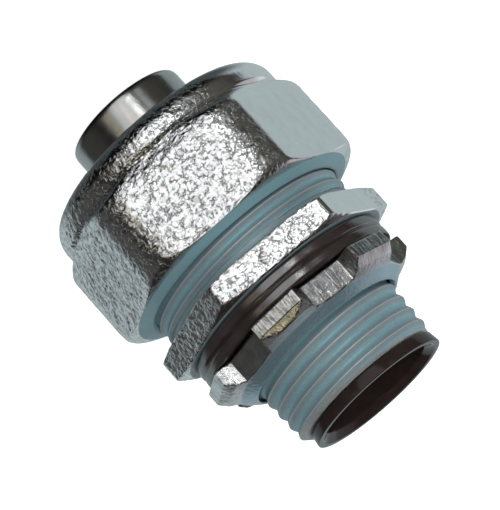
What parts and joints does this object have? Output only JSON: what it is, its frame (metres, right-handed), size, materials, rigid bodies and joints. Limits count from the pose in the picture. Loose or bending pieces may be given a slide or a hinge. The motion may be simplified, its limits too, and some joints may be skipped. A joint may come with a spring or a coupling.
{
  "type": "conduit compression fitting",
  "caption": "Straight compression fitting that clamps a liquid-tight flexible conduit and fixes it to a box wall with a locknut.",
  "frame": {"origin": "centre of the ferrule's open end, which the fitting stands on", "axes": "+Z along the fitting's axis, from the conduit end up to the threaded hub; -Y towards a flat of the gland nut"},
  "size_m": [0.036, 0.0328, 0.0463],
  "materials": {
    "zinc_casting": "cast and zinc plated, pebbled",
    "zinc_steel": "bright zinc plated, smooth",
    "locknut_steel": "zinc plated, stamped",
    "ring_steel": "satin",
    "nylon": "natural nylon",
    "seal_rubber": "smooth, dark brown",
    "throat_plastic": "glossy, dark brown"
  },
  "bodies": {
    "fitting": {"fitting_body": "zinc_casting", "throat_insert": "throat_plastic"},
    "ferrule": {"ferrule": "zinc_steel"},
    "packing": {"slip_ring": "ring_steel", "compression_ring": "nylon"},
    "gland_nut": {"gland_nut": "zinc_casting"},
    "sealing_ring": {"sealing_ring": "seal_rubber"},
    "locknut": {"locknut": "locknut_steel"}
  },
  "joints": [
    {"name": "ferrule_slide", "type": "slide", "parent": "fitting", "child": "ferrule", "axis": [0, 0, 1], "range_m": [-0.003, 0]},
    {"name": "packing_travel", "type": "slide", "parent": "fitting", "child": "packing", "axis": [0, 0, 1], "range_m": [-0.00605, 0.0023]},
    {"name": "gland_nut_turn", "type": "hinge", "parent": "packing", "child": "gland_nut", "pos_m": [0, 0, 0.0143], "axis": [0, 0, 1], "range_deg": [-1440, 540]},
    {"name": "locknut_turn", "type": "hinge", "parent": "fitting", "child": "sealing_ring", "pos_m": [0, 0, 0.0315], "axis": [0, 0, 1], "range_deg": [0, 2160]},
    {"name": "locknut_travel", "type": "slide", "parent": "sealing_ring", "child": "locknut", "axis": [0, 0, 1], "range_m": [0, 0.0109]}
  ],
  "couplings": [
    {"joint": "packing_travel", "follows": "gland_nut_turn", "m_per_rad": 0.00023873},
    {"joint": "locknut_travel", "follows": "locknut_turn", "m_per_rad": 0.00028875}
  ]
}
